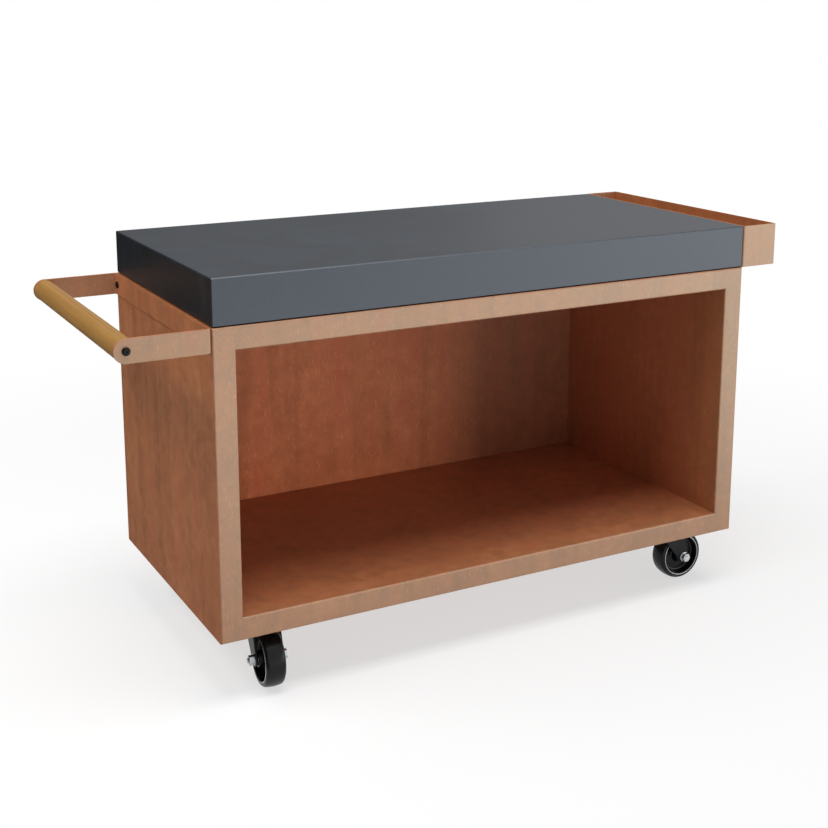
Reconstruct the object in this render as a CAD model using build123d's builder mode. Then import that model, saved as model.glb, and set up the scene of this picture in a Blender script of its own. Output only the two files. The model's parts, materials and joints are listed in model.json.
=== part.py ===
from build123d import *
import os

# Prep table on casters: a folded steel carcass with an open front, a ceramic worktop,
# a push handle on the left end and a planter trough on the right end.
# Millimetres, +Z up, front towards -Y, origin on the floor under the middle of the overall box.

# Carcass
carcass_length = 1350.0
carcass_depth = 650.0
carcass_height = 670.0
carcass_clearance = 143.0  # from the floor to the lower edge of the carcass
sheet = 3.0
bend_radius = 1.0  # inside radius of every fold
wall_thickness = 50.0  # width of the front frame, and of the double side walls
lip_depth = 25.0  # return lip behind the two front rails

# Hat channels under the floor
channel_sheet = 4.0
channel_width = 112.0
channel_flange = 18.0
channel_end_gap = 22.0  # from a channel's end to the front or back face

# Worktop
worktop_thickness = 97.0
worktop_inset = 1.25  # the ceramic stands back from the carcass faces
shadow_gap = 3.0  # between carcass and worktop
ceramic_thickness = 12.0
arris_bevel = 2.0
rail_width = 40.0
rail_wall = 3.0
crossbar_count = 4
pad_length = 60.0
worktop_bolt_inset = 100.0  # from the end of the carcass to the outer bolts

# Planter
planter_width = 100.0
flange_length = 150.0
flange_side_inset = 15.0
drain_diameter = 10.0
drain_spacing = 150.0
drain_count = 4

# Handle
handle_strip = 6.0
handle_height = 50.0
handle_reach = 172.0  # from the carcass wall to the middle of the bar
bar_diameter = 48.0
bar_end_chamfer = 2.0
bracket_bolt_inset = 18.0  # from the inside of an arm to the bolt
insert_diameter = 12.0
insert_length = 25.0

# Fasteners
screw_diameter = 8.0
screw_clearance = 0.5  # radial, round a screw in sheet metal
thread_clearance = 0.05  # radial, round a screw in its nut
hex_head_flats = 13.0
hex_head_height = 5.3
button_head_diameter = 17.0
button_head_height = 4.5
button_head_round = 3.2
socket_flats = 5.0
socket_depth = 2.6
nut_height = 6.5
screw_tail = 4.0  # thread that stands out beyond a nut

# Casters
wheel_diameter = 125.0
tread_width = 42.0
tread_thickness = 10.0
tread_shoulder = 6.0  # radius between the tread and the side of the tyre
caster_height = 155.0
caster_trail = 40.0
caster_side_inset = 128.0  # from the end of the carcass to the swivel axis
caster_face_inset = 97.0  # from the front or back of the carcass to the swivel axis
plate_length = 105.0
plate_width = 85.0
plate_corner = 10.0
plate_thickness = 4.0
plate_holes_length = 80.0
plate_holes_width = 60.0
raceway_diameter = 62.0
raceway_depth = 5.0
raceway_slope = 25.0  # degrees
bearing_outer_diameter = 54.0
bearing_inner_diameter = 38.0
bearing_height = 5.8
kingpin_diameter = 14.0
kingpin_head_diameter = 24.0
kingpin_head_height = 5.0
fork_sheet = 5.0
fork_gap = 54.0
fork_bend = 7.0
crown_diameter = 66.0
leg_width = 56.0
leg_skirt = 14.0  # height of the straight upper part of a leg
axle_boss_diameter = 30.0
axle_diameter = 12.0
axle_head_flats = 19.0
axle_head_height = 10.0
axle_nut_height = 12.0
axle_tail = 4.0
sleeve_diameter = 16.0
wheel_bearing_diameter = 24.0
wheel_bearing_length = 14.0
hub_diameter = 34.0
hub_length = 51.0
web_thickness = 12.0
rim_thickness = 4.5
rim_width = 44.0
core_draft = 3.0  # how far the hub and the rim thicken towards the web
running_clearance = 0.05  # radial, on turning fits
seat_clearance = 0.02  # radial, on pressed seats
thrust_clearance = 0.2  # axial, on turning faces

# The way each wheel trails from its swivel axis, in degrees from +X
caster_angles = {"front_left": 266, "front_right": 0, "rear_left": 94, "rear_right": 0}

# Places that follow from the sizes above
handle_overhang = handle_reach + handle_height / 2
carcass_middle = (handle_overhang - planter_width) / 2
carcass_left = carcass_middle - carcass_length / 2
carcass_right = carcass_middle + carcass_length / 2
carcass_front = -carcass_depth / 2
carcass_back = carcass_depth / 2
carcass_top = carcass_clearance + carcass_height
floor_top = carcass_clearance + wall_thickness
worktop_bottom = carcass_top + shadow_gap
worktop_top = worktop_bottom + worktop_thickness
worktop_length = carcass_length - 2 * worktop_inset
worktop_depth = carcass_depth - 2 * worktop_inset
rail_height = worktop_thickness - ceramic_thickness
rail_level = worktop_bottom + rail_height / 2
rail_middle = worktop_depth / 2 - ceramic_thickness - rail_width / 2
screw_radius = screw_diameter / 2
screw_hole_radius = screw_radius + screw_clearance
nut_bore_radius = screw_radius + thread_clearance
bar_middle_x = carcass_left - handle_reach
bar_middle_z = carcass_top - handle_height / 2
bar_end = carcass_depth / 2 - handle_strip
bracket_face = carcass_left - handle_strip
swivel_x = carcass_length / 2 - caster_side_inset
swivel_y = carcass_depth / 2 - caster_face_inset

worktop_bolt_places = [
    (carcass_middle + row * (carcass_length / 2 - worktop_bolt_inset), side * rail_middle)
    for row in (-1, 0, 1)
    for side in (-1, 1)
]
pad_places = [place for place in worktop_bolt_places if place[0] < carcass_right - flange_length]
bracket_bolt_places = [(side * (bar_end - bracket_bolt_inset), bar_middle_z) for side in (-1, 1)]
swivel_places = {
    name: (
        carcass_middle + (swivel_x if name.endswith("right") else -swivel_x),
        swivel_y if name.startswith("rear") else -swivel_y,
    )
    for name in caster_angles
}
plate_bolt_places = [
    (x + side * plate_holes_width / 2, y + face * plate_holes_length / 2)
    for x, y in swivel_places.values()
    for side in (-1, 1)
    for face in (-1, 1)
]

os.makedirs("parts", exist_ok=True)


def save(piece, label):
    """Label a finished piece and write it."""
    piece.part.label = label
    export_step(piece.part, f"parts/{label}.step")


def hexagon(flats):
    """Draw a hexagon of the given width across flats in the current sketch."""
    RegularPolygon(radius=flats / 2, side_count=6, major_radius=False)


# Carcass: four folded sides, mitred into a frame, and a flat back


def folded_side(corner, run, inward, length, path):
    """Fold a sheet along path, the (depth, distance inward) points of its middle line,
    run it along one side of the carcass and mitre both ends."""
    start = Vector(corner)
    along = Vector(run)
    across = Vector(inward)
    with BuildPart() as side:
        with BuildSketch(Plane(origin=start, x_dir=(0, 1, 0), z_dir=along)):
            with BuildLine():
                FilletPolyline(*path, radius=bend_radius + sheet / 2)
            trace(line_width=sheet)
        extrude(amount=length)
        split(bisect_by=Plane(origin=start, z_dir=along - across), keep=Keep.TOP)
        split(bisect_by=Plane(origin=start + along * length, z_dir=-along - across), keep=Keep.TOP)
    return side.part


fold_rear = carcass_back - sheet
fold_front = carcass_front + sheet / 2
lip_end = carcass_front + lip_depth
outer_skin = sheet / 2
inner_skin = wall_thickness - sheet / 2
front_fold = [(fold_front, outer_skin), (fold_front, inner_skin)]
wall_path = [(fold_rear, outer_skin), *front_fold, (fold_rear, inner_skin)]
top_path = [(fold_rear, outer_skin), *front_fold, (lip_end, inner_skin)]
floor_path = [(lip_end, outer_skin), *front_fold, (fold_rear, inner_skin)]

with BuildPart() as left_wall:
    head = (carcass_left, 0, carcass_top)
    add(folded_side(head, (0, 0, -1), (1, 0, 0), carcass_height, wall_path))
    with BuildSketch(Plane.YZ.offset(carcass_left)):
        with Locations(*bracket_bolt_places):
            Circle(screw_hole_radius)
    extrude(amount=sheet, mode=Mode.SUBTRACT)
save(left_wall, "left_wall")

with BuildPart() as right_wall:
    foot = (carcass_right, 0, carcass_clearance)
    add(folded_side(foot, (0, 0, 1), (-1, 0, 0), carcass_height, wall_path))
save(right_wall, "right_wall")

with BuildPart() as top_panel:
    corner = (carcass_right, 0, carcass_top)
    add(folded_side(corner, (-1, 0, 0), (0, 0, -1), carcass_length, top_path))
    with BuildSketch(Plane.XY.offset(carcass_top)):
        with Locations(*worktop_bolt_places):
            Circle(screw_hole_radius)
    extrude(amount=-sheet, mode=Mode.SUBTRACT)
save(top_panel, "top_panel")

with BuildPart() as floor_tray:
    corner = (carcass_left, 0, carcass_clearance)
    add(folded_side(corner, (1, 0, 0), (0, 0, 1), carcass_length, floor_path))
save(floor_tray, "floor_tray")

with BuildPart() as back_panel:
    with BuildSketch(Plane.XZ.offset(-carcass_back)):
        with Locations((carcass_middle, carcass_clearance + carcass_height / 2)):
            Rectangle(carcass_length, carcass_height)
    extrude(amount=sheet)
save(back_panel, "back_panel")

# Hat channels: flanges under the floor, the flat between them carries the casters
channel_crest = floor_top - sheet - channel_sheet / 2
channel_seat = caster_height + channel_sheet / 2
channel_web = channel_width / 2 - channel_sheet / 2
channel_edge = channel_width / 2 + channel_flange

with BuildPart() as caster_channels:
    for x in (carcass_middle - swivel_x, carcass_middle + swivel_x):
        with BuildSketch(Plane(origin=(x, 0, 0), x_dir=(1, 0, 0), z_dir=(0, -1, 0))):
            with BuildLine():
                FilletPolyline(
                    (-channel_edge, channel_crest),
                    (-channel_web, channel_crest),
                    (-channel_web, channel_seat),
                    (channel_web, channel_seat),
                    (channel_web, channel_crest),
                    (channel_edge, channel_crest),
                    radius=bend_radius + channel_sheet / 2,
                )
            trace(line_width=channel_sheet)
    extrude(amount=carcass_depth / 2 - channel_end_gap, both=True)
    with BuildSketch(Plane.XY.offset(caster_height)):
        with Locations(*plate_bolt_places):
            Circle(screw_hole_radius)
    extrude(amount=channel_sheet, mode=Mode.SUBTRACT)
save(caster_channels, "caster_channels")

# Worktop: ceramic plate and aprons with mitred, bevelled arrises on a steel frame


def mitred_panel(face, width, height):
    """A ceramic panel behind face, mitred at 45 degrees all round, with its share of the bevel."""
    half_bevel = arris_bevel / 2
    with BuildPart() as panel:
        with BuildSketch(face.offset(-half_bevel)) as outline:
            Rectangle(width - arris_bevel, height - arris_bevel)
        extrude(outline.sketch, amount=half_bevel, taper=45)
        extrude(outline.sketch, amount=half_bevel - ceramic_thickness, taper=45)
    return panel.part


def upright_panel(outward, reach, width):
    """An apron: the upper half of a mitred panel twice as high, square along its lower edge."""
    facing = Vector(outward)
    foot = Vector(carcass_middle, 0, worktop_bottom) + facing * reach
    face = Plane(origin=foot, x_dir=Vector(0, 0, 1).cross(facing), z_dir=facing)
    with BuildPart() as panel:
        add(mitred_panel(face, width, 2 * worktop_thickness))
        split(bisect_by=Plane.XY.offset(worktop_bottom), keep=Keep.TOP)
    return panel.part


with BuildPart() as worktop_plate:
    add(mitred_panel(Plane(origin=(carcass_middle, 0, worktop_top)), worktop_length, worktop_depth))
save(worktop_plate, "worktop_plate")

with BuildPart() as front_apron:
    add(upright_panel((0, -1, 0), worktop_depth / 2, worktop_length))
save(front_apron, "front_apron")

with BuildPart() as rear_apron:
    add(upright_panel((0, 1, 0), worktop_depth / 2, worktop_length))
save(rear_apron, "rear_apron")

with BuildPart() as left_apron:
    add(upright_panel((-1, 0, 0), worktop_length / 2, worktop_depth))
save(left_apron, "left_apron")

with BuildPart() as right_apron:
    add(upright_panel((1, 0, 0), worktop_length / 2, worktop_depth))
save(right_apron, "right_apron")


def tube_section():
    """Draw the hollow section of the worktop frame in the current sketch."""
    Rectangle(rail_width, rail_height)
    Rectangle(rail_width - 2 * rail_wall, rail_height - 2 * rail_wall, mode=Mode.SUBTRACT)


frame_length = worktop_length - 2 * ceramic_thickness
crossbar_spacing = (frame_length - rail_width) / (crossbar_count - 1)

with BuildPart() as worktop_rails:
    with BuildSketch(Plane.YZ.offset(carcass_middle)):
        with Locations((-rail_middle, rail_level), (rail_middle, rail_level)):
            tube_section()
    extrude(amount=frame_length / 2, both=True)
    with BuildSketch(Plane.XY.offset(worktop_bottom)):
        with Locations(*worktop_bolt_places):
            Circle(screw_hole_radius)
    extrude(amount=rail_wall, mode=Mode.SUBTRACT)
save(worktop_rails, "worktop_rails")

with BuildPart() as worktop_crossbars:
    with BuildSketch(Plane.XZ):
        with Locations((carcass_middle, rail_level)):
            with GridLocations(crossbar_spacing, 0, crossbar_count, 1):
                tube_section()
    extrude(amount=rail_middle - rail_width / 2, both=True)
save(worktop_crossbars, "worktop_crossbars")

with BuildPart() as worktop_pads:
    with BuildSketch(Plane.XY.offset(carcass_top)):
        with Locations(*pad_places):
            Rectangle(pad_length, rail_width)
            Circle(screw_hole_radius, mode=Mode.SUBTRACT)
    extrude(amount=shadow_gap)
save(worktop_pads, "worktop_pads")


def hex_bolts(seat, length, places):
    """Upright bolts with their heads below seat."""
    with BuildPart() as bolts:
        with BuildSketch(Plane.XY.offset(seat)):
            with Locations(*places):
                hexagon(hex_head_flats)
        extrude(amount=-hex_head_height)
        with BuildSketch(Plane.XY.offset(seat)):
            with Locations(*places):
                Circle(screw_radius)
        extrude(amount=length)
    return bolts.part


def hex_nuts(seat, places):
    """Nuts that stand on seat."""
    with BuildPart() as nuts:
        with BuildSketch(seat):
            with Locations(*places):
                hexagon(hex_head_flats)
                Circle(nut_bore_radius, mode=Mode.SUBTRACT)
        extrude(amount=nut_height)
    return nuts.part


worktop_grip = sheet + shadow_gap + rail_wall

with BuildPart() as worktop_bolts:
    add(hex_bolts(carcass_top - sheet, worktop_grip + nut_height + screw_tail, worktop_bolt_places))
save(worktop_bolts, "worktop_bolts")

with BuildPart() as worktop_nuts:
    add(hex_nuts(Plane.XY.offset(worktop_bottom + rail_wall), worktop_bolt_places))
save(worktop_nuts, "worktop_nuts")

# Planter: an open trough level with the worktop, with a flange clamped in the shadow gap
planter_height = worktop_top - carcass_top
flange_width = carcass_depth - 2 * flange_side_inset

with BuildPart() as planter_box:
    with BuildSketch(Plane.XY.offset(carcass_top)):
        with Locations((carcass_right + planter_width / 2, 0)):
            RectangleRounded(planter_width, carcass_depth, bend_radius + sheet)
    extrude(amount=planter_height)
    offset(amount=-sheet, openings=planter_box.faces().sort_by(Axis.Z)[-1])
    with BuildSketch(Plane.XY.offset(carcass_top)):
        with Locations((carcass_right + sheet, 0)):
            Rectangle(flange_length + sheet, flange_width, align=(Align.MAX, Align.CENTER))
    extrude(amount=shadow_gap)
    with BuildSketch(Plane.XY.offset(carcass_top)):
        with Locations(*worktop_bolt_places):
            Circle(screw_hole_radius)
        with Locations((carcass_right + planter_width / 2, 0)):
            with GridLocations(0, drain_spacing, 1, drain_count):
                Circle(drain_diameter / 2)
    extrude(amount=max(sheet, shadow_gap), mode=Mode.SUBTRACT)
save(planter_box, "planter_box")

# Handle: a bent strip on the left wall carries a round bar between its arms
arm_tip = bar_middle_x - handle_height / 2
arm_middle = carcass_depth / 2 - handle_strip / 2
strip_middle = carcass_left - handle_strip / 2

with BuildPart() as handle_bracket:
    with BuildSketch(Plane.XY.offset(carcass_top - handle_height)):
        with BuildLine():
            FilletPolyline(
                (arm_tip, -arm_middle),
                (strip_middle, -arm_middle),
                (strip_middle, arm_middle),
                (arm_tip, arm_middle),
                radius=bend_radius + handle_strip / 2,
            )
        trace(line_width=handle_strip)
    extrude(amount=handle_height)
    with BuildSketch(Plane.XZ):
        with Locations((bar_middle_x, bar_middle_z)):
            Circle(handle_height / 2)
            Rectangle(handle_reach, handle_height, align=(Align.MIN, Align.CENTER))
            Circle(screw_hole_radius, mode=Mode.SUBTRACT)
    extrude(amount=carcass_depth / 2, both=True, mode=Mode.INTERSECT)
    with BuildSketch(Plane.YZ.offset(bracket_face)):
        with Locations(*bracket_bolt_places):
            Circle(screw_hole_radius)
    extrude(amount=handle_strip, mode=Mode.SUBTRACT)
save(handle_bracket, "handle_bracket")

with BuildPart() as handle_bar:
    with BuildSketch(Plane.XZ):
        with Locations((bar_middle_x, bar_middle_z)):
            Circle(bar_diameter / 2)
    extrude(amount=bar_end, both=True)
    chamfer(handle_bar.edges().filter_by(GeomType.CIRCLE), length=bar_end_chamfer)
    for face in (-1, 1):
        with BuildSketch(Plane.XZ.offset(face * bar_end)):
            with Locations((bar_middle_x, bar_middle_z)):
                Circle(insert_diameter / 2 + seat_clearance)
        extrude(amount=-face * insert_length, mode=Mode.SUBTRACT)
save(handle_bar, "handle_bar")

with BuildPart() as bar_inserts:
    for face in (-1, 1):
        with BuildSketch(Plane.XZ.offset(face * bar_end)):
            with Locations((bar_middle_x, bar_middle_z)):
                Circle(insert_diameter / 2)
                Circle(nut_bore_radius, mode=Mode.SUBTRACT)
        extrude(amount=-face * insert_length)
save(bar_inserts, "bar_inserts")


def button_screw(seat, length):
    """A round-headed socket screw: the head stands out of seat, the shank goes behind it."""
    with BuildPart() as screw:
        with BuildSketch(seat):
            Circle(button_head_diameter / 2)
        extrude(amount=button_head_height)
        fillet(screw.edges().group_by(Axis(seat.origin, seat.z_dir))[-1], radius=button_head_round)
        with BuildSketch(seat.offset(button_head_height)):
            hexagon(socket_flats)
        extrude(amount=-socket_depth, mode=Mode.SUBTRACT)
        with BuildSketch(seat):
            Circle(screw_radius)
        extrude(amount=-length)
    return screw.part


with BuildPart() as bar_screws:
    for face in (-1, 1):
        bar_axis_end = (bar_middle_x, face * carcass_depth / 2, bar_middle_z)
        arm_face = Plane(origin=bar_axis_end, x_dir=(1, 0, 0), z_dir=(0, face, 0))
        add(button_screw(arm_face, handle_strip + insert_length - screw_tail))
save(bar_screws, "bar_screws")

with BuildPart() as bracket_bolts:
    for y, z in bracket_bolt_places:
        strip_face = Plane(origin=(bracket_face, y, z), x_dir=(0, 1, 0), z_dir=(-1, 0, 0))
        add(button_screw(strip_face, handle_strip + sheet + nut_height + screw_tail))
save(bracket_bolts, "bracket_bolts")

with BuildPart() as bracket_nuts:
    add(hex_nuts(Plane.YZ.offset(carcass_left + sheet), bracket_bolt_places))
save(bracket_nuts, "bracket_nuts")

# Casters: what all four share
plate_bottom = caster_height - plate_thickness
raceway_bottom = plate_bottom - raceway_depth
crown_top = raceway_bottom - bearing_height - thrust_clearance
crown_bottom = crown_top - fork_sheet
kingpin_seat = crown_bottom - thrust_clearance
caster_grip = plate_thickness + channel_sheet

with BuildPart() as caster_bolts:
    add(hex_bolts(plate_bottom, caster_grip + nut_height + screw_tail, plate_bolt_places))
save(caster_bolts, "caster_bolts")

with BuildPart() as caster_nuts:
    add(hex_nuts(Plane.XY.offset(caster_height + channel_sheet), plate_bolt_places))
save(caster_nuts, "caster_nuts")

with BuildPart() as kingpins:
    with BuildSketch(Plane.XY.offset(kingpin_seat)):
        with Locations(*swivel_places.values()):
            Circle(kingpin_head_diameter / 2)
    extrude(amount=-kingpin_head_height)
    with BuildSketch(Plane.XY.offset(kingpin_seat)):
        with Locations(*swivel_places.values()):
            Circle(kingpin_diameter / 2)
    extrude(amount=caster_height - kingpin_seat)
save(kingpins, "kingpins")

with BuildPart() as swivel_bearings:
    with BuildSketch(Plane.XY.offset(raceway_bottom)):
        with Locations(*swivel_places.values()):
            Circle(bearing_outer_diameter / 2)
            Circle(bearing_inner_diameter / 2, mode=Mode.SUBTRACT)
    extrude(amount=-bearing_height)
save(swivel_bearings, "swivel_bearings")

# Casters: the pieces of each one
wheel_radius = wheel_diameter / 2
core_radius = wheel_radius - tread_thickness
fork_half = fork_gap / 2 + fork_sheet
fork_reach = caster_trail + axle_boss_diameter + leg_width
hub_bore = wheel_bearing_diameter / 2 + seat_clearance
hub_radius = hub_diameter / 2
rim_radius = core_radius - rim_thickness

for name, angle in caster_angles.items():
    ahead = Vector(1, 0, 0).rotate(Axis.Z, angle)
    across = Vector(0, 1, 0).rotate(Axis.Z, angle)
    pivot = Vector(*swivel_places[name], 0)
    hub = pivot + ahead * caster_trail + Vector(0, 0, wheel_radius)
    table_plan = Plane(origin=pivot)
    fork_plan = Plane(origin=pivot, x_dir=ahead)
    fork_flank = Plane(origin=pivot, x_dir=ahead, z_dir=-across)
    axle_end = Plane(origin=hub, x_dir=ahead, z_dir=across)
    axle_section = Plane(origin=hub, x_dir=across, z_dir=ahead)
    axle = Axis(hub, across)

    with BuildPart() as caster_plate:
        with BuildSketch(table_plan.offset(plate_bottom)):
            RectangleRounded(plate_width, plate_length, plate_corner)
            with GridLocations(plate_holes_width, plate_holes_length, 2, 2):
                Circle(screw_hole_radius, mode=Mode.SUBTRACT)
        extrude(amount=plate_thickness)
        with BuildSketch(table_plan.offset(plate_bottom)):
            Circle(raceway_diameter / 2)
        extrude(amount=-raceway_depth, taper=raceway_slope)
        with BuildSketch(table_plan.offset(raceway_bottom)):
            Circle(kingpin_diameter / 2 + seat_clearance)
        extrude(amount=caster_height - raceway_bottom, mode=Mode.SUBTRACT)
    save(caster_plate, f"{name}_plate")

    with BuildPart() as fork:
        with BuildSketch(fork_flank):
            with Locations((0, crown_top - leg_skirt / 2)):
                Rectangle(leg_width, leg_skirt)
            with Locations((caster_trail, wheel_radius)):
                Circle(axle_boss_diameter / 2)
            make_hull()
        extrude(amount=fork_half, both=True)
        shoulders = fork.faces().sort_by(Axis.Z)[-1].edges().filter_by(Axis((0, 0, 0), ahead))
        fillet(shoulders, radius=fork_bend)
        with BuildSketch(fork_flank):
            with Locations((0, crown_bottom)):
                Rectangle(2 * fork_reach, crown_bottom, align=(Align.CENTER, Align.MAX))
        extrude(amount=fork_gap / 2, both=True, mode=Mode.SUBTRACT)
        with BuildSketch(fork_plan.offset(crown_bottom)):
            Circle(crown_diameter / 2)
        extrude(amount=fork_sheet)
        with BuildSketch(fork_plan.offset(crown_bottom)):
            Circle(kingpin_diameter / 2 + running_clearance)
        extrude(amount=fork_sheet, mode=Mode.SUBTRACT)
        with BuildSketch(axle_end):
            Circle(axle_diameter / 2 + seat_clearance)
        extrude(amount=fork_half, both=True, mode=Mode.SUBTRACT)
    save(fork, f"{name}_fork")

    with BuildPart() as axle_bolt:
        with BuildSketch(axle_end.offset(fork_half)):
            hexagon(axle_head_flats)
        extrude(amount=axle_head_height)
        with BuildSketch(axle_end.offset(fork_half)):
            Circle(axle_diameter / 2)
        extrude(amount=-2 * fork_half - axle_nut_height - axle_tail)
    save(axle_bolt, f"{name}_axle_bolt")

    with BuildPart() as axle_nut:
        with BuildSketch(axle_end.offset(-fork_half)):
            hexagon(axle_head_flats)
            Circle(axle_diameter / 2 + thread_clearance, mode=Mode.SUBTRACT)
        extrude(amount=-axle_nut_height)
    save(axle_nut, f"{name}_axle_nut")

    with BuildPart() as axle_sleeve:
        with BuildSketch(axle_end):
            Circle(sleeve_diameter / 2)
            Circle(axle_diameter / 2 + seat_clearance, mode=Mode.SUBTRACT)
        extrude(amount=fork_gap / 2, both=True)
    save(axle_sleeve, f"{name}_axle_sleeve")

    with BuildPart() as wheel_bearings:
        for end in (-1, 1):
            with BuildSketch(axle_end.offset(end * hub_length / 2)):
                Circle(wheel_bearing_diameter / 2)
                Circle(sleeve_diameter / 2 + running_clearance, mode=Mode.SUBTRACT)
            extrude(amount=-end * wheel_bearing_length)
    save(wheel_bearings, f"{name}_wheel_bearings")

    with BuildPart() as wheel_core:
        with BuildSketch(axle_section):
            with BuildLine():
                Polyline(
                    (0, hub_bore),
                    (hub_length / 2, hub_bore),
                    (hub_length / 2, hub_radius),
                    (web_thickness / 2, hub_radius + core_draft),
                    (web_thickness / 2, rim_radius - core_draft),
                    (rim_width / 2, rim_radius),
                    (rim_width / 2, core_radius),
                    (0, core_radius),
                )
                mirror(about=Plane.YZ)
            make_face()
        revolve(axis=axle)
    save(wheel_core, f"{name}_wheel_core")

    with BuildPart() as tyre:
        with BuildSketch(axle_section) as tread:
            with Locations((0, wheel_radius)):
                Rectangle(
                    tread_width, tread_thickness - seat_clearance, align=(Align.CENTER, Align.MAX)
                )
            fillet(tread.vertices().sort_by(Axis.Y)[-2:], radius=tread_shoulder)
        revolve(axis=axle)
    save(tyre, f"{name}_tyre")
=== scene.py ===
import bmesh
import bpy
import json
import math
from mathutils import Matrix, Vector


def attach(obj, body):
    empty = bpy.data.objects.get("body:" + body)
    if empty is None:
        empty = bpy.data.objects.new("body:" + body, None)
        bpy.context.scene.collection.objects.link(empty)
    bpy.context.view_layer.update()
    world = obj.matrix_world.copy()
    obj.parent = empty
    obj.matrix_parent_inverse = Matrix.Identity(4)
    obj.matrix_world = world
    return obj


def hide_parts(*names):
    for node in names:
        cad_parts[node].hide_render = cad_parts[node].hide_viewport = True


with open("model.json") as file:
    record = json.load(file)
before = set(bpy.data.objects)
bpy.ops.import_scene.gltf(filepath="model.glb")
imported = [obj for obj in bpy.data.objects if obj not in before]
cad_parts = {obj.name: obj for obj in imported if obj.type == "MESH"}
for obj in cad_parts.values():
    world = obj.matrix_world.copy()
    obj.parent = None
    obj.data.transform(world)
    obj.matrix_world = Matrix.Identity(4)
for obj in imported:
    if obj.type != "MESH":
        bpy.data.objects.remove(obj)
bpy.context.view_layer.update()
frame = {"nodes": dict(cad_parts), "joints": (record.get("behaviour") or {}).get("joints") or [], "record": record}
scene = bpy.context.scene
scene.view_settings.view_transform = "Standard"
cadNodes = frame["nodes"]
joints = {joint["name"]: joint for joint in frame["joints"]}
casterNames = ["front_left", "front_right", "rear_left", "rear_right"]
print("frame loaded with", len(cadNodes), "nodes")


# Small helpers


def linear(hexColour):
    # sRGB hex to linear RGBA
    parts = [int(hexColour[i : i + 2], 16) / 255 for i in (1, 3, 5)]
    return [p / 12.92 if p <= 0.04045 else ((p + 0.055) / 1.055) ** 2.4 for p in parts] + [1.0]


def perMetre(millimetres):
    # pattern scale for features of this size
    return 1000.0 / millimetres


def addNode(tree, kind, inputs, stops=(), **settings):
    # one node: settings go on the node, stops on its colour ramp, inputs are constants or sockets to link
    node = tree.nodes.new(kind)
    for name, value in settings.items():
        setattr(node, name, value)
    while stops and len(node.color_ramp.elements) < len(stops):
        node.color_ramp.elements.new(0.5)
    for i, (position, hexColour) in enumerate(stops):
        node.color_ramp.elements[i].position = position
        node.color_ramp.elements[i].color = linear(hexColour)
    for name, value in inputs.items():
        if isinstance(value, bpy.types.NodeSocket):
            tree.links.new(value, node.inputs[name])
        else:
            node.inputs[name].default_value = value
    return node


def blankMaterial(name):
    # an empty node tree, and the piece's own coordinates
    material = bpy.data.materials.new(name)
    material.use_nodes = True
    tree = material.node_tree
    tree.nodes.clear()
    place = addNode(tree, "ShaderNodeTexCoord", {}).outputs["Object"]
    return material, tree, place


def finishMaterial(tree, **inputs):
    shader = addNode(tree, "ShaderNodeBsdfPrincipled", inputs)
    addNode(tree, "ShaderNodeOutputMaterial", {"Surface": shader.outputs["BSDF"]})


# Materials

# Weathering steel, rolled sheet with a young sealed rust: a satin copper brown, drifting between ochre and
# red in long upright streaks, with small pale ticks, a fine grain and the strong sheen of iron oxide
rustLook = {
    "stops": [(0.36, "#8C4E28"), (0.46, "#9F5B32"), (0.54, "#AD673A"), (0.64, "#C07C4E")],
    "red": "#A0482A",
    "tick": "#C88758",
    "cloud": 260,  # mm, as all sizes here
    "mottle": 28,
    "mottleShare": 0.56,
    "streakWidth": 46,
    "streakLength": 900,
    "streakShare": 0.4,
    "redFrom": (0.5, 0.68),  # streak values where the red starts, and where it is full
    "redShare": 0.5,
    "tickWidth": 4.5,
    "tickLength": 15,
    "tickFrom": (0.62, 0.8),
    "tickShare": 0.5,
    "grain": 2.6,  # drawn coarser than real scale, which is too fine to show
    "grainShare": 0.18,
    "roughness": (0.46, 0.6),
    "oxideIor": 2.1,
    "sheen": "#E6FFEC",
    "bump": 0.06,
    "bumpDepth": 1.0,
    # painted bounce light inside the bay: this hue shift and lightening stand in for light the bay's walls throw
    "paintedBounceHue": 0.4915,  # 0.5 keeps the hue, less is redder
    "paintedBounceValue": 1.2,
    "paintedBounceDepth": (20, 220),  # behind the front: where the painted bounce light starts, and where it is full
    "paintedBounceMargin": 3.5,  # past the inner skin and short of the outer one
}
openings = {opening["name"]: opening["box_m"] for opening in frame["record"]["physics"]["openings"]}


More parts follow.
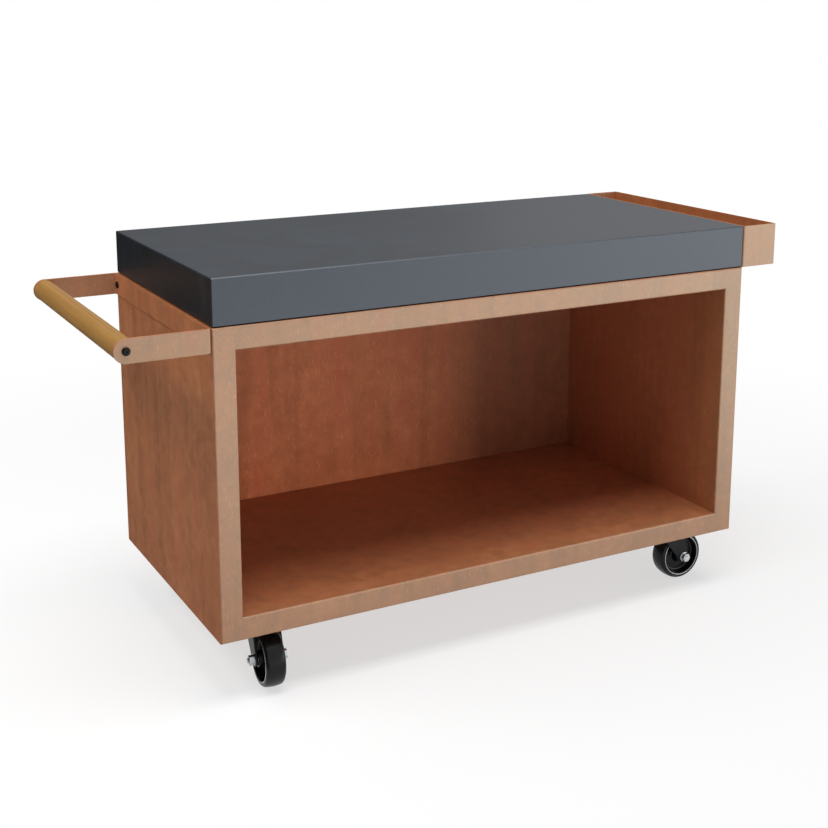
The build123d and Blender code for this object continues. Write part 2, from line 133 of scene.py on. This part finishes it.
def weatheringSteel():
    material, tree, place = blankMaterial("weatheringSteel")
    look = rustLook
    cloudScale = perMetre(look["cloud"])
    cloud = addNode(
        tree, "ShaderNodeTexNoise",
        {"Vector": place, "Scale": cloudScale, "Detail": 4.0, "Roughness": 0.55, "Distortion": 0.4},
    ).outputs["Fac"]
    mottle = addNode(
        tree, "ShaderNodeTexNoise",
        {"Vector": place, "Scale": perMetre(look["mottle"]), "Detail": 6.0, "Roughness": 0.62},
    ).outputs["Fac"]
    streakScale = [perMetre(look["streakWidth"])] * 2 + [perMetre(look["streakLength"])]
    streakPlace = addNode(
        tree, "ShaderNodeMapping", {"Vector": place, "Scale": streakScale}
    ).outputs["Vector"]
    streaks = addNode(
        tree, "ShaderNodeTexNoise",
        {"Vector": streakPlace, "Scale": 1.0, "Detail": 3.0, "Roughness": 0.5, "Distortion": 0.15},
    ).outputs["Fac"]
    tickScale = [perMetre(look["tickWidth"])] * 2 + [perMetre(look["tickLength"])]
    tickPlace = addNode(
        tree, "ShaderNodeMapping", {"Vector": place, "Scale": tickScale}
    ).outputs["Vector"]
    ticks = addNode(
        tree, "ShaderNodeTexNoise", {"Vector": tickPlace, "Scale": 1.0, "Detail": 1.0}
    ).outputs["Fac"]
    grain = addNode(
        tree, "ShaderNodeTexNoise", {"Vector": place, "Scale": perMetre(look["grain"]), "Detail": 2.0}
    ).outputs["Fac"]

    # tone: clouds with mottling, then the streaks, then the grain on top
    tone = cloud
    for layer, share in ((mottle, "mottleShare"), (streaks, "streakShare"), (grain, "grainShare")):
        tone = addNode(
            tree, "ShaderNodeMix", {"Factor": look[share], "A": tone, "B": layer}, data_type="FLOAT"
        ).outputs["Result"]
    ochre = addNode(tree, "ShaderNodeValToRGB", {"Fac": tone}, stops=look["stops"]).outputs["Color"]

    # redder streaks, then the pale ticks; the mix node's colour sockets go by number
    colour = ochre
    for layer, name in ((streaks, "red"), (ticks, "tick")):
        start, full = look[name + "From"]
        share = addNode(
            tree, "ShaderNodeMapRange",
            {"Value": layer, "From Min": start, "From Max": full, "To Max": look[name + "Share"]},
        ).outputs["Result"]
        colour = addNode(
            tree, "ShaderNodeMix", {0: share, 6: colour, 7: linear(look[name])}, data_type="RGBA"
        ).outputs[2]

    # painted bounce light: the rust inside the bay is painted redder and lighter, as its walls light each other
    low, high = [Vector(corner) for corner in openings["storage_bay"]]
    margin = Vector([look["paintedBounceMargin"] / 1000] * 3)
    fromMiddle = addNode(
        tree, "ShaderNodeVectorMath", {0: place, 1: (low + high) / 2}, operation="SUBTRACT"
    ).outputs[0]
    spans = addNode(
        tree, "ShaderNodeVectorMath", {0: fromMiddle, 1: (high - low) / 2 + margin}, operation="DIVIDE"
    ).outputs[0]
    spans = addNode(tree, "ShaderNodeVectorMath", {0: spans}, operation="ABSOLUTE").outputs[0]
    spans = addNode(tree, "ShaderNodeSeparateXYZ", {"Vector": spans}).outputs
    span = addNode(tree, "ShaderNodeMath", {0: spans[0], 1: spans[1]}, operation="MAXIMUM").outputs[0]
    span = addNode(tree, "ShaderNodeMath", {0: span, 1: spans[2]}, operation="MAXIMUM").outputs[0]
    inside = addNode(tree, "ShaderNodeMath", {0: span, 1: 1.0}, operation="LESS_THAN").outputs[0]
    depth = addNode(tree, "ShaderNodeSeparateXYZ", {"Vector": place}).outputs[1]
    nearDepth, farDepth = [low.y + part / 1000 for part in look["paintedBounceDepth"]]
    paintedBounce = addNode(
        tree, "ShaderNodeMapRange",
        {"Value": depth, "From Min": nearDepth, "From Max": farDepth, "To Max": inside},
    ).outputs["Result"]
    colour = addNode(
        tree, "ShaderNodeHueSaturation",
        {"Hue": look["paintedBounceHue"], "Value": look["paintedBounceValue"], "Fac": paintedBounce, "Color": colour},
    ).outputs["Color"]

    roughness = addNode(
        tree, "ShaderNodeMapRange",
        {"Value": mottle, "To Min": look["roughness"][0], "To Max": look["roughness"][1]},
    ).outputs["Result"]
    bump = addNode(
        tree, "ShaderNodeBump",
        {"Strength": look["bump"], "Distance": look["bumpDepth"] / 1000, "Height": grain},
    ).outputs["Normal"]
    finishMaterial(
        tree,
        **{
            "Base Color": colour,
            "Roughness": roughness,
            "IOR": look["oxideIor"],
            "Specular Tint": linear(look["sheen"]),
            "Normal": bump,
        },
    )
    return material


# Sintered ceramic slab, pressed and left matt: blue charcoal with soft clouds, brighter where light
# grazes it
ceramicLook = {
    "stops": [(0.3, "#171A1D"), (0.5, "#1D2024"), (0.72, "#272B30")],
    "cloud": 150,  # mm, as all sizes here
    "fleck": 7,
    "fleckShare": 0.3,
    "tooth": 1.8,  # the matt surface's own grain, drawn coarser than real scale
    "roughness": (0.4, 0.5),
    "ior": 1.65,
    "sheen": "#E6F0FF",
    "bump": 0.03,
    "bumpDepth": 1.0,
}


def sinteredCeramic():
    material, tree, place = blankMaterial("sinteredCeramic")
    look = ceramicLook
    cloudScale = perMetre(look["cloud"])
    cloud = addNode(
        tree, "ShaderNodeTexNoise",
        {"Vector": place, "Scale": cloudScale, "Detail": 6.0, "Roughness": 0.6, "Distortion": 0.8},
    ).outputs["Fac"]
    fleck = addNode(
        tree, "ShaderNodeTexNoise", {"Vector": place, "Scale": perMetre(look["fleck"]), "Detail": 3.0}
    ).outputs["Fac"]
    tooth = addNode(
        tree, "ShaderNodeTexNoise", {"Vector": place, "Scale": perMetre(look["tooth"]), "Detail": 1.0}
    ).outputs["Fac"]
    tone = addNode(
        tree, "ShaderNodeMix", {"Factor": look["fleckShare"], "A": cloud, "B": fleck}, data_type="FLOAT"
    ).outputs["Result"]
    colour = addNode(tree, "ShaderNodeValToRGB", {"Fac": tone}, stops=look["stops"]).outputs["Color"]
    roughness = addNode(
        tree, "ShaderNodeMapRange",
        {"Value": cloud, "To Min": look["roughness"][0], "To Max": look["roughness"][1]},
    ).outputs["Result"]
    bump = addNode(
        tree, "ShaderNodeBump",
        {"Strength": look["bump"], "Distance": look["bumpDepth"] / 1000, "Height": tooth},
    ).outputs["Normal"]
    finishMaterial(
        tree,
        **{
            "Base Color": colour,
            "Roughness": roughness,
            "IOR": look["ior"],
            "Specular Tint": linear(look["sheen"]),
            "Normal": bump,
        },
    )
    return material


# Oiled ash, turned: golden brown and smooth, with long fine fibres and slow light and dark years along
# the bar
woodLook = {
    "stops": [(0.25, "#825A2A"), (0.45, "#946C36"), (0.6, "#9E753C"), (0.8, "#A98449")],
    "fibreWidth": 1.6,  # mm, as all sizes here
    "fibreLength": 90,
    "fibreShare": 0.5,
    "yearWidth": 11,
    "yearLength": 600,
    "roughness": (0.42, 0.56),
    "bump": 0.1,
    "bumpDepth": 0.6,
}


def oiledAsh():
    material, tree, place = blankMaterial("oiledAsh")
    look = woodLook
    fibreScale = (perMetre(look["fibreWidth"]), perMetre(look["fibreLength"]), perMetre(look["fibreWidth"]))
    fibrePlace = addNode(
        tree, "ShaderNodeMapping", {"Vector": place, "Scale": fibreScale}
    ).outputs["Vector"]
    fibre = addNode(
        tree, "ShaderNodeTexNoise", {"Vector": fibrePlace, "Scale": 1.0, "Detail": 3.0, "Roughness": 0.6}
    ).outputs["Fac"]
    yearScale = (perMetre(look["yearWidth"]), perMetre(look["yearLength"]), perMetre(look["yearWidth"]))
    yearPlace = addNode(
        tree, "ShaderNodeMapping", {"Vector": place, "Scale": yearScale}
    ).outputs["Vector"]
    years = addNode(
        tree, "ShaderNodeTexNoise", {"Vector": yearPlace, "Scale": 1.0, "Detail": 2.0, "Distortion": 0.8}
    ).outputs["Fac"]
    tone = addNode(
        tree, "ShaderNodeMix", {"Factor": look["fibreShare"], "A": years, "B": fibre}, data_type="FLOAT"
    ).outputs["Result"]
    colour = addNode(tree, "ShaderNodeValToRGB", {"Fac": tone}, stops=look["stops"]).outputs["Color"]
    roughness = addNode(
        tree, "ShaderNodeMapRange",
        {"Value": fibre, "To Min": look["roughness"][0], "To Max": look["roughness"][1]},
    ).outputs["Result"]
    bump = addNode(
        tree, "ShaderNodeBump",
        {"Strength": look["bump"], "Distance": look["bumpDepth"] / 1000, "Height": fibre},
    ).outputs["Normal"]
    finishMaterial(
        tree,
        **{
            "Base Color": colour,
            "Roughness": roughness,
            "Normal": bump,
        },
    )
    return material


# Plain finishes: what each is, its two colours, how it shines, and its surface grain in mm. Each drifts
# between its colours in clouds some grains wide
plainCloud = {"grains": 12, "from": 0.3, "to": 0.7, "bumpDepth": 0.6}
plainLooks = {
    # black powder coat on pressed steel: satin, with a fine orange peel
    "powderCoat": {
        "colours": ("#0A0B0D", "#121316"), "metallic": 0.0, "specular": 0.22, "roughness": (0.26, 0.38),
        "grain": 3.5, "bump": 0.1,
    },
    # bright zinc plate: pale, slightly clouded metal
    "zincPlate": {
        "colours": ("#B4B7BA", "#D3D5D7"), "metallic": 1.0, "specular": 0.5, "roughness": (0.24, 0.4),
        "grain": 4.0, "bump": 0.03,
    },
    # black oxide on turned screws: a dark skin with a low oily shine
    "blackOxide": {
        "colours": ("#050506", "#0A0B0C"), "metallic": 0.0, "specular": 0.15, "roughness": (0.2, 0.3),
        "grain": 2.0, "bump": 0.05,
    },
    # turned brass
    "turnedBrass": {
        "colours": ("#A8843F", "#C9A55B"), "metallic": 1.0, "specular": 0.5, "roughness": (0.25, 0.4),
        "grain": 2.0, "bump": 0.03,
    },
    # primed tube: dull dark grey
    "primedTube": {
        "colours": ("#55575A", "#65676A"), "metallic": 0.0, "specular": 0.5, "roughness": (0.6, 0.75),
        "grain": 5.0, "bump": 0.08,
    },
    # black rubber sheet
    "sheetRubber": {
        "colours": ("#141414", "#1E1E1E"), "metallic": 0.0, "specular": 0.5, "roughness": (0.7, 0.85),
        "grain": 2.5, "bump": 0.15,
    },
    # moulded tyre rubber: blue black, with a soft shine along the crown of the tread
    "tyreRubber": {
        "colours": ("#07080A", "#0D0F12"), "metallic": 0.0, "specular": 0.22, "roughness": (0.22, 0.32),
        "grain": 5.0, "bump": 0.08,
    },
    # moulded nylon wheel centre: near black and glossy, with a fine spark grain
    "mouldedNylon": {
        "colours": ("#060708", "#0C0D0F"), "metallic": 0.0, "specular": 0.2, "roughness": (0.2, 0.32),
        "grain": 1.8, "bump": 0.05,
    },
}


def plainFinish(name):
    material, tree, place = blankMaterial(name)
    look = plainLooks[name]
    grain = addNode(
        tree, "ShaderNodeTexNoise",
        {"Vector": place, "Scale": perMetre(look["grain"]), "Detail": 3.0, "Roughness": 0.55},
    ).outputs["Fac"]
    cloudScale = perMetre(plainCloud["grains"] * look["grain"])
    cloud = addNode(
        tree, "ShaderNodeTexNoise", {"Vector": place, "Scale": cloudScale, "Detail": 3.0}
    ).outputs["Fac"]
    stops = [(plainCloud["from"], look["colours"][0]), (plainCloud["to"], look["colours"][1])]
    colour = addNode(tree, "ShaderNodeValToRGB", {"Fac": cloud}, stops=stops).outputs["Color"]
    roughness = addNode(
        tree, "ShaderNodeMapRange",
        {"Value": cloud, "To Min": look["roughness"][0], "To Max": look["roughness"][1]},
    ).outputs["Result"]
    bump = addNode(
        tree, "ShaderNodeBump",
        {"Strength": look["bump"], "Distance": plainCloud["bumpDepth"] / 1000, "Height": grain},
    ).outputs["Normal"]
    finishMaterial(
        tree,
        **{
            "Base Color": colour,
            "Metallic": look["metallic"],
            "Specular IOR Level": look["specular"],
            "Roughness": roughness,
            "Normal": bump,
        },
    )
    return material


slotFinish = {
    "weathering_steel": weatheringSteel(),
    "dark_ceramic": sinteredCeramic(),
    "oiled_wood": oiledAsh(),
    "black_steel": plainFinish("powderCoat"),
    "zinc_steel": plainFinish("zincPlate"),
    "black_screw": plainFinish("blackOxide"),
    "insert_brass": plainFinish("turnedBrass"),
    "frame_steel": plainFinish("primedTube"),
    "pad_rubber": plainFinish("sheetRubber"),
    "tyre_rubber": plainFinish("tyreRubber"),
    "core_plastic": plainFinish("mouldedNylon"),
}
nodeSlot = {part["node"]: part["material_slot"] for part in frame["record"]["subparts"]}
for name, node in cadNodes.items():
    node.data.materials.clear()
    node.data.materials.append(slotFinish[nodeSlot[name]])
print("materials on", len(cadNodes), "nodes:", len(slotFinish))

# Modelled pieces: they stand for the frame's plain solids and ride on the same bodies
edgeLook = {
    "smoothBelow": math.radians(32),  # faces that meet at less are shaded as one
    "easedAbove": math.radians(40),  # edges that turn by more are eased
    "flatBelow": math.radians(1),  # faces that meet at less are one face
    "merge": 1e-6,  # m
}


def newPiece(name, bm, body, node, slot=None):
    # make a bmesh a piece that rides on a body, and stands for a node where one is given
    slot = slot or nodeSlot[node]
    mesh = bpy.data.meshes.new(name)
    bm.to_mesh(mesh)
    bm.free()
    mesh.shade_smooth()
    mesh.set_sharp_from_angle(angle=edgeLook["smoothBelow"])
    mesh.materials.append(slotFinish[slot])
    piece = bpy.data.objects.new(name, mesh)
    scene.collection.objects.link(piece)
    # flat faces stay flat up to their eased edges
    piece.modifiers.new("weightedNormal", "WEIGHTED_NORMAL").keep_sharp = True
    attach(piece, body)
    if node:
        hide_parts(node)


def easedCopy(node, width):
    # a node's own shape with its sharp edges eased, as tumbling and painting leave them
    bm = bmesh.new()
    bm.from_mesh(cadNodes[node].data)
    bmesh.ops.remove_doubles(bm, verts=bm.verts, dist=edgeLook["merge"])
    bmesh.ops.dissolve_limit(bm, angle_limit=edgeLook["flatBelow"], verts=bm.verts, edges=bm.edges)
    limit = edgeLook["easedAbove"]
    sharp = [edge for edge in bm.edges if edge.is_manifold and edge.calc_face_angle() > limit]
    bmesh.ops.bevel(
        bm, geom=sharp, offset=width / 1000, affect="EDGES", segments=2, profile=0.5,
        clamp_overlap=False, material=-1,
    )
    return bm


def turned(corners, steps):
    # turn a closed outline of (along, out, rounding) corners in mm once about the X axis
    bm = bmesh.new()
    verts = [bm.verts.new((along / 1000, 0, out / 1000)) for along, out, rounding in corners]
    for first, second in zip(verts, verts[1:] + verts[:1]):
        bm.edges.new((first, second))
    for vertex, (along, out, rounding) in zip(verts, corners):
        if rounding:
            bmesh.ops.bevel(
                bm, geom=[vertex], offset=rounding / 1000, affect="VERTICES", segments=4, profile=0.5,
                material=-1,
            )
    bmesh.ops.spin(
        bm, geom=bm.verts[:] + bm.edges[:], cent=(0, 0, 0), axis=(1, 0, 0), angle=2 * math.pi,
        steps=steps, use_merge=True,
    )
    bmesh.ops.remove_doubles(bm, verts=bm.verts, dist=edgeLook["merge"])
    bmesh.ops.recalc_face_normals(bm, faces=bm.faces)
    return bm


def addHexagon(bm, flats, start, end, chamfer):
    # a hexagon along X from start to end in mm, with its outer rim chamfered
    radius = flats / math.sqrt(3) / 1000
    made = bmesh.ops.create_cone(
        bm, cap_ends=True, segments=6, radius1=radius, radius2=radius, depth=abs(end - start) / 1000
    )["verts"]
    bmesh.ops.rotate(bm, matrix=Matrix.Rotation(math.radians(90), 3, "Y"), verts=made)
    bmesh.ops.translate(bm, vec=((start + end) / 2000, 0, 0), verts=made)
    rim = {
        edge for vert in made for edge in vert.link_edges
        if all(abs(v.co.x - end / 1000) < edgeLook["merge"] for v in edge.verts)
    }
    bmesh.ops.bevel(
        bm, geom=list(rim), offset=chamfer / 1000, affect="EDGES", segments=2, profile=0.5, material=-1
    )


# Casters: sizes in mm. Outlines give, along the axle, out from it and rounding, one half of a form that
# is the same on both sides, from the middle outwards
tyreLook = {
    # a low crown with the line the mould leaves, then the shoulder and the ridge on the wall
    "outline": [
        (0, 62.5, 0), (0.7, 62.4, 0), (10, 62.1, 6), (19.4, 60.2, 4), (21, 57.4, 0), (21.6, 56.6, 0.4),
        (21.6, 55.4, 0.4), (21, 54.6, 0.5), (21, 52.4, 0),
    ],
    "steps": 112,
}
coreLook = {
    # the rim under the tyre, the dished web and the hub
    "outline": [
        (21, 52.5, 0), (22, 52.2, 1.2), (22, 48.6, 1.2), (20, 47.6, 1), (6, 44, 4), (7, 20, 4),
        (25.5, 17, 1.6), (25.5, 12.1, 0.6),
    ],
    "steps": 112,
}
axleLook = {
    "flats": 19,
    "headStart": 32,
    "headEnd": 42,
    "nutStart": -32,
    "nutEnd": -44,
    "chamfer": 1.1,
    "washer": [(1.8, 6.1, 0), (1.8, 12, 0.5), (0, 12, 0.5), (0, 6.1, 0)],  # from the fork outwards
    "radius": 6,
    "intoHead": 1,
    "thread": 1.75,
    "threadDepth": 0.9,
    "end": -47,
    "endChamfer": 1,
    "steps": 32,
}
beadLook = {
    "outline": [(21.6, 50.0, 0.4), (22.6, 50.2, 0.5), (22.6, 51.4, 0.5), (21.6, 51.6, 0.4)],
    "steps": 112,
}
easedEdges = {"fork": 1.2, "plate": 0.8}


def bothSides(half):
    # a whole outline, from the far side to the near one
    return [(-along, out, rounding) for along, out, rounding in half[::-1] if along] + half


def addCaster(caster):
    spin = joints[caster + "_wheel_spin"]
    axis = Vector(spin["axis"])
    atHub = Matrix.Translation(spin["pos_m"]) @ Matrix.Rotation(math.atan2(axis.y, axis.x), 4, "Z")
    words = caster.split("_")
    title = words[0] + words[1].capitalize()

    tyre = turned(bothSides(tyreLook["outline"]), tyreLook["steps"])
    core = turned(bothSides(coreLook["outline"]), coreLook["steps"])

    # bolt: a stem with its thread cut at the nut end, a hexagon head and its washer
    look = axleLook
    top = look["headStart"] + look["intoHead"]
    radius, root = look["radius"], look["radius"] - look["threadDepth"]
    stem = [(top, 0, 0), (top, radius, 0)]
    along = look["nutEnd"]
    while along > look["end"] + look["thread"]:
        stem += [(along, radius, 0), (along - look["thread"] / 2, root, 0)]
        along -= look["thread"]
    end, chamfer = look["end"], look["endChamfer"]
    stem += [(end + chamfer, radius, 0), (end, radius - chamfer, 0), (end, 0, 0)]
    bolt = turned(stem, look["steps"])
    addHexagon(bolt, look["flats"], look["headStart"], look["headEnd"], look["chamfer"])
    nut = bmesh.new()
    addHexagon(nut, look["flats"], look["nutStart"], look["nutEnd"], look["chamfer"])
    for bm, start, way in ((bolt, look["headStart"], 1), (nut, look["nutStart"], -1)):
        ring = bpy.data.meshes.new("washer")
        washer = turned([(start + way * a, out, r) for a, out, r in look["washer"]], look["steps"])
        washer.to_mesh(ring)
        washer.free()
        bm.from_mesh(ring)
        bpy.data.meshes.remove(ring)

    for bm, kind, body, node in (
        (tyre, "Tyre", "_wheel", "_tyre"),
        (core, "WheelCore", "_wheel", "_wheel_core"),
        (bolt, "AxleBolt", "_swivel", "_axle_bolt"),
        (nut, "AxleNut", "_swivel", "_axle_nut"),
    ):
        bm.transform(atHub)
        newPiece(title + kind, bm, caster + body, caster + node)

    # the bright bead round the rim, on both sides
    bead = turned(beadLook["outline"], beadLook["steps"])
    bmesh.ops.mirror(bead, geom=bead.verts[:] + bead.edges[:] + bead.faces[:], merge_dist=-1, axis="X")
    bmesh.ops.recalc_face_normals(bead, faces=bead.faces)
    bead.transform(atHub)
    newPiece(title + "RimBead", bead, caster + "_wheel", None, "zinc_steel")
    for kind, body, node in (("Fork", caster + "_swivel", "fork"), ("Plate", "table", "plate")):
        newPiece(title + kind, easedCopy(caster + "_" + node, easedEdges[node]), body, caster + "_" + node)


for caster in casterNames:
    addCaster(caster)
print("casters made:", len(casterNames))

# Handle and planter: bent strip and folded trough, with the edges a linisher leaves
linishedEdges = {"handle_bracket": ("handleBracket", 0.8), "planter_box": ("planterBox", 0.6)}  # mm
for node, (name, width) in linishedEdges.items():
    newPiece(name, easedCopy(node, width), "table", node)
print("handle bracket and planter made")

# Studio: a pale floor that fades to white, in a white room
studioLook = {
    "floorRadius": 16.0,  # m
    "floorColour": "#F2F2F2",
    "white": "#FFFFFF",
    "fadeFrom": 0.8,  # m from the middle, where the floor starts to turn to plain white
    "fadeTo": 2.8,
    "whiteShare": 0.62,  # share of plain white near the object
    "ambient": 0.31,
}


def backgroundRays(tree):
    # 1 on the rays that show the background: seen directly, in gloss or through glass
    rays = addNode(tree, "ShaderNodeLightPath", {}).outputs
    seen = addNode(
        tree, "ShaderNodeMath", {0: rays["Is Camera Ray"], 1: rays["Is Glossy Ray"]}, operation="ADD"
    ).outputs["Value"]
    return addNode(
        tree, "ShaderNodeMath", {0: seen, 1: rays["Is Transmission Ray"]}, operation="ADD"
    ).outputs["Value"]


def addStudio():
    look = studioLook
    bm = bmesh.new()
    bmesh.ops.create_circle(bm, cap_ends=True, segments=96, radius=look["floorRadius"])
    mesh = bpy.data.meshes.new("studioFloor")
    bm.to_mesh(mesh)
    bm.free()
    floor = bpy.data.objects.new("studioFloor", mesh)
    scene.collection.objects.link(floor)

    # painted board: lit and shadowed like any surface, but plain white further out, also in gloss
    material, tree, place = blankMaterial("floorBoard")
    distance = addNode(tree, "ShaderNodeVectorMath", {0: place}, operation="LENGTH").outputs["Value"]
    start, full = look["fadeFrom"], look["fadeTo"]
    fade = addNode(
        tree, "ShaderNodeMapRange",
        {"Value": distance, "From Min": start, "From Max": full, "To Min": look["whiteShare"]},
        interpolation_type="SMOOTHSTEP",
    ).outputs["Result"]
    share = addNode(
        tree, "ShaderNodeMath", {0: fade, 1: backgroundRays(tree)}, operation="MULTIPLY"
    ).outputs["Value"]
    board = addNode(tree, "ShaderNodeBsdfDiffuse", {"Color": linear(look["floorColour"])}).outputs["BSDF"]
    white = addNode(tree, "ShaderNodeEmission", {"Color": linear(look["white"])}).outputs["Emission"]
    mixed = addNode(tree, "ShaderNodeMixShader", {"Fac": share, 1: board, 2: white}).outputs["Shader"]
    addNode(tree, "ShaderNodeOutputMaterial", {"Surface": mixed})
    material.cycles.emission_sampling = "NONE"
    floor.data.materials.append(material)

    world = bpy.data.worlds.new("studioWorld")
    scene.world = world
    world.use_nodes = True
    tree = world.node_tree
    tree.nodes.clear()
    soft, white = [
        addNode(
            tree, "ShaderNodeBackground", {"Color": linear(look["white"]), "Strength": strength}
        ).outputs["Background"]
        for strength in (look["ambient"], 1.0)
    ]
    mixed = addNode(
        tree, "ShaderNodeMixShader", {"Fac": backgroundRays(tree), 1: soft, 2: white}
    ).outputs["Shader"]
    addNode(tree, "ShaderNodeOutputWorld", {"Surface": mixed})
    world.cycles.sampling_method = "NONE"


# Lights, placed and sized in m: a broad one high at the front, one for the left end, one from the front
# right for the back of the bay alone, and two that only gloss can see, for the sheen on the front
softLights = {
    "frontLight": {
        "at": (0.1, -1.3, 5.8), "aim": (0, -0.25, 0.2), "size": (4.6, 2.3), "radiance": 6.9, "on": "both",
    },
    "leftLight": {
        "at": (-2.6, 0.5, 3.0), "aim": (-0.65, 0, 0.5), "size": (1.5, 1.1), "radiance": 9.8, "on": "diffuse",
    },
    "bayLight": {
        "at": (3.2, -3.0, 0.7), "aim": (0, 0, 0.5), "size": (3.0, 1.2), "radiance": 15.0, "on": "back",
    },
    "sheenLight": {
        "at": (4.0, -3.6, 0.95), "aim": (0.3, 0, 0.6), "size": (4.4, 1.8), "radiance": 3.2, "on": "gloss",
    },
    "floorSheen": {
        "at": (1.4, -2.5, 0.01), "aim": (1.4, -2.5, 1), "size": (6.0, 2.8), "radiance": 1.8, "on": "gloss",
    },
}

# Cards that only gloss can see: dark ones keep the white room's reflection off the left end and out of
# the bay, and grey ones behind, paler to the right, shade the worktop from left to right
cardLook = {
    "leftFloorCard": {"middle": (-3.8, 2.6, 0.003), "size": (6.3, 10.0), "turn": (0, 0, 0), "grey": 0.02},
    "leftCard": {"middle": (-5.5, 1.5, 3.0), "size": (6.0, 12.0), "turn": (0, 90, 0), "grey": 0.05},
    "backLeftCard": {"middle": (-2.5, 6.5, 3.0), "size": (6.0, 6.0), "turn": (90, 0, 0), "grey": 0.03},
    "bayCard": {"middle": (0, -0.27, 0.5), "size": (1.24, 0.56), "turn": (90, 0, 0), "grey": 0.04},
    "backCard": {"middle": (2.3, 6.5, 3.0), "size": (3.6, 6.0), "turn": (90, 0, 0), "grey": 0.29},
    "backRightCard": {"middle": (7.1, 6.5, 3.0), "size": (6.0, 6.0), "turn": (90, 0, 0), "grey": 0.55},
}


def addCards():
    for name, look in cardLook.items():
        bm = bmesh.new()
        bmesh.ops.create_grid(bm, x_segments=1, y_segments=1, size=0.5)
        bmesh.ops.scale(bm, vec=(*look["size"], 1.0), verts=bm.verts)
        for degrees, axis in zip(look["turn"], "XYZ"):
            bmesh.ops.rotate(bm, matrix=Matrix.Rotation(math.radians(degrees), 3, axis), verts=bm.verts)
        bmesh.ops.translate(bm, vec=look["middle"], verts=bm.verts)
        mesh = bpy.data.meshes.new(name)
        bm.to_mesh(mesh)
        bm.free()
        card = bpy.data.objects.new(name, mesh)
        scene.collection.objects.link(card)
        card.visible_camera = False
        card.visible_diffuse = False
        card.visible_transmission = False
        card.visible_shadow = False
        material, tree, place = blankMaterial(name)
        glow = addNode(
            tree, "ShaderNodeEmission", {"Color": linear(studioLook["white"]), "Strength": look["grey"]}
        ).outputs["Emission"]
        addNode(tree, "ShaderNodeOutputMaterial", {"Surface": glow})
        material.cycles.emission_sampling = "NONE"
        mesh.materials.append(material)


def addLights():
    # the sheen is kept off the back of the bay, and the bay's own light is kept to it
    receivers = {}
    for kind, state in (("gloss", "EXCLUDE"), ("back", "INCLUDE")):
        receivers[kind] = bpy.data.collections.new(kind + "Receivers")
        receivers[kind].objects.link(cadNodes["back_panel"])
        receivers[kind].collection_objects[0].light_linking.link_state = state
    for name, look in softLights.items():
        lamp = bpy.data.lights.new(name, "AREA")
        lamp.shape = "RECTANGLE"
        lamp.size, lamp.size_y = look["size"]
        lamp.energy = look["radiance"] * math.pi * lamp.size * lamp.size_y
        light = bpy.data.objects.new(name, lamp)
        scene.collection.objects.link(light)
        light.location = look["at"]
        towards = Vector(look["aim"]) - Vector(look["at"])
        light.rotation_euler = towards.to_track_quat("-Z", "Y").to_euler()
        light.visible_camera = False
        light.visible_diffuse = look["on"] != "gloss"
        light.visible_glossy = look["on"] in ("both", "gloss")
        if look["on"] in receivers:
            light.light_linking.receiver_collection = receivers[look["on"]]


cameraLook = {
    "eye": (-1.508, -2.807, 1.4375),  # m
    "heading": -28.21,  # degrees round from straight ahead
    "pitch": 11.85,  # degrees down
    "lens": 59.45,  # mm
    "sensor": 36.0,  # mm
    "shift": -0.15,
}


def addCamera():
    look = cameraLook
    heading, pitch = math.radians(look["heading"]), math.radians(look["pitch"])
    forward = Vector((
        -math.sin(heading) * math.cos(pitch),
        math.cos(heading) * math.cos(pitch),
        -math.sin(pitch),
    ))
    lens = bpy.data.cameras.new("photoCamera")
    lens.sensor_width = look["sensor"]
    lens.lens = look["lens"]
    lens.shift_y = look["shift"]
    camera = bpy.data.objects.new("photoCamera", lens)
    scene.collection.objects.link(camera)
    camera.location = look["eye"]
    camera.rotation_euler = forward.to_track_quat("-Z", "Y").to_euler()
    scene.camera = camera


addStudio()
addLights()
addCards()
addCamera()
print("studio, lights and camera made")
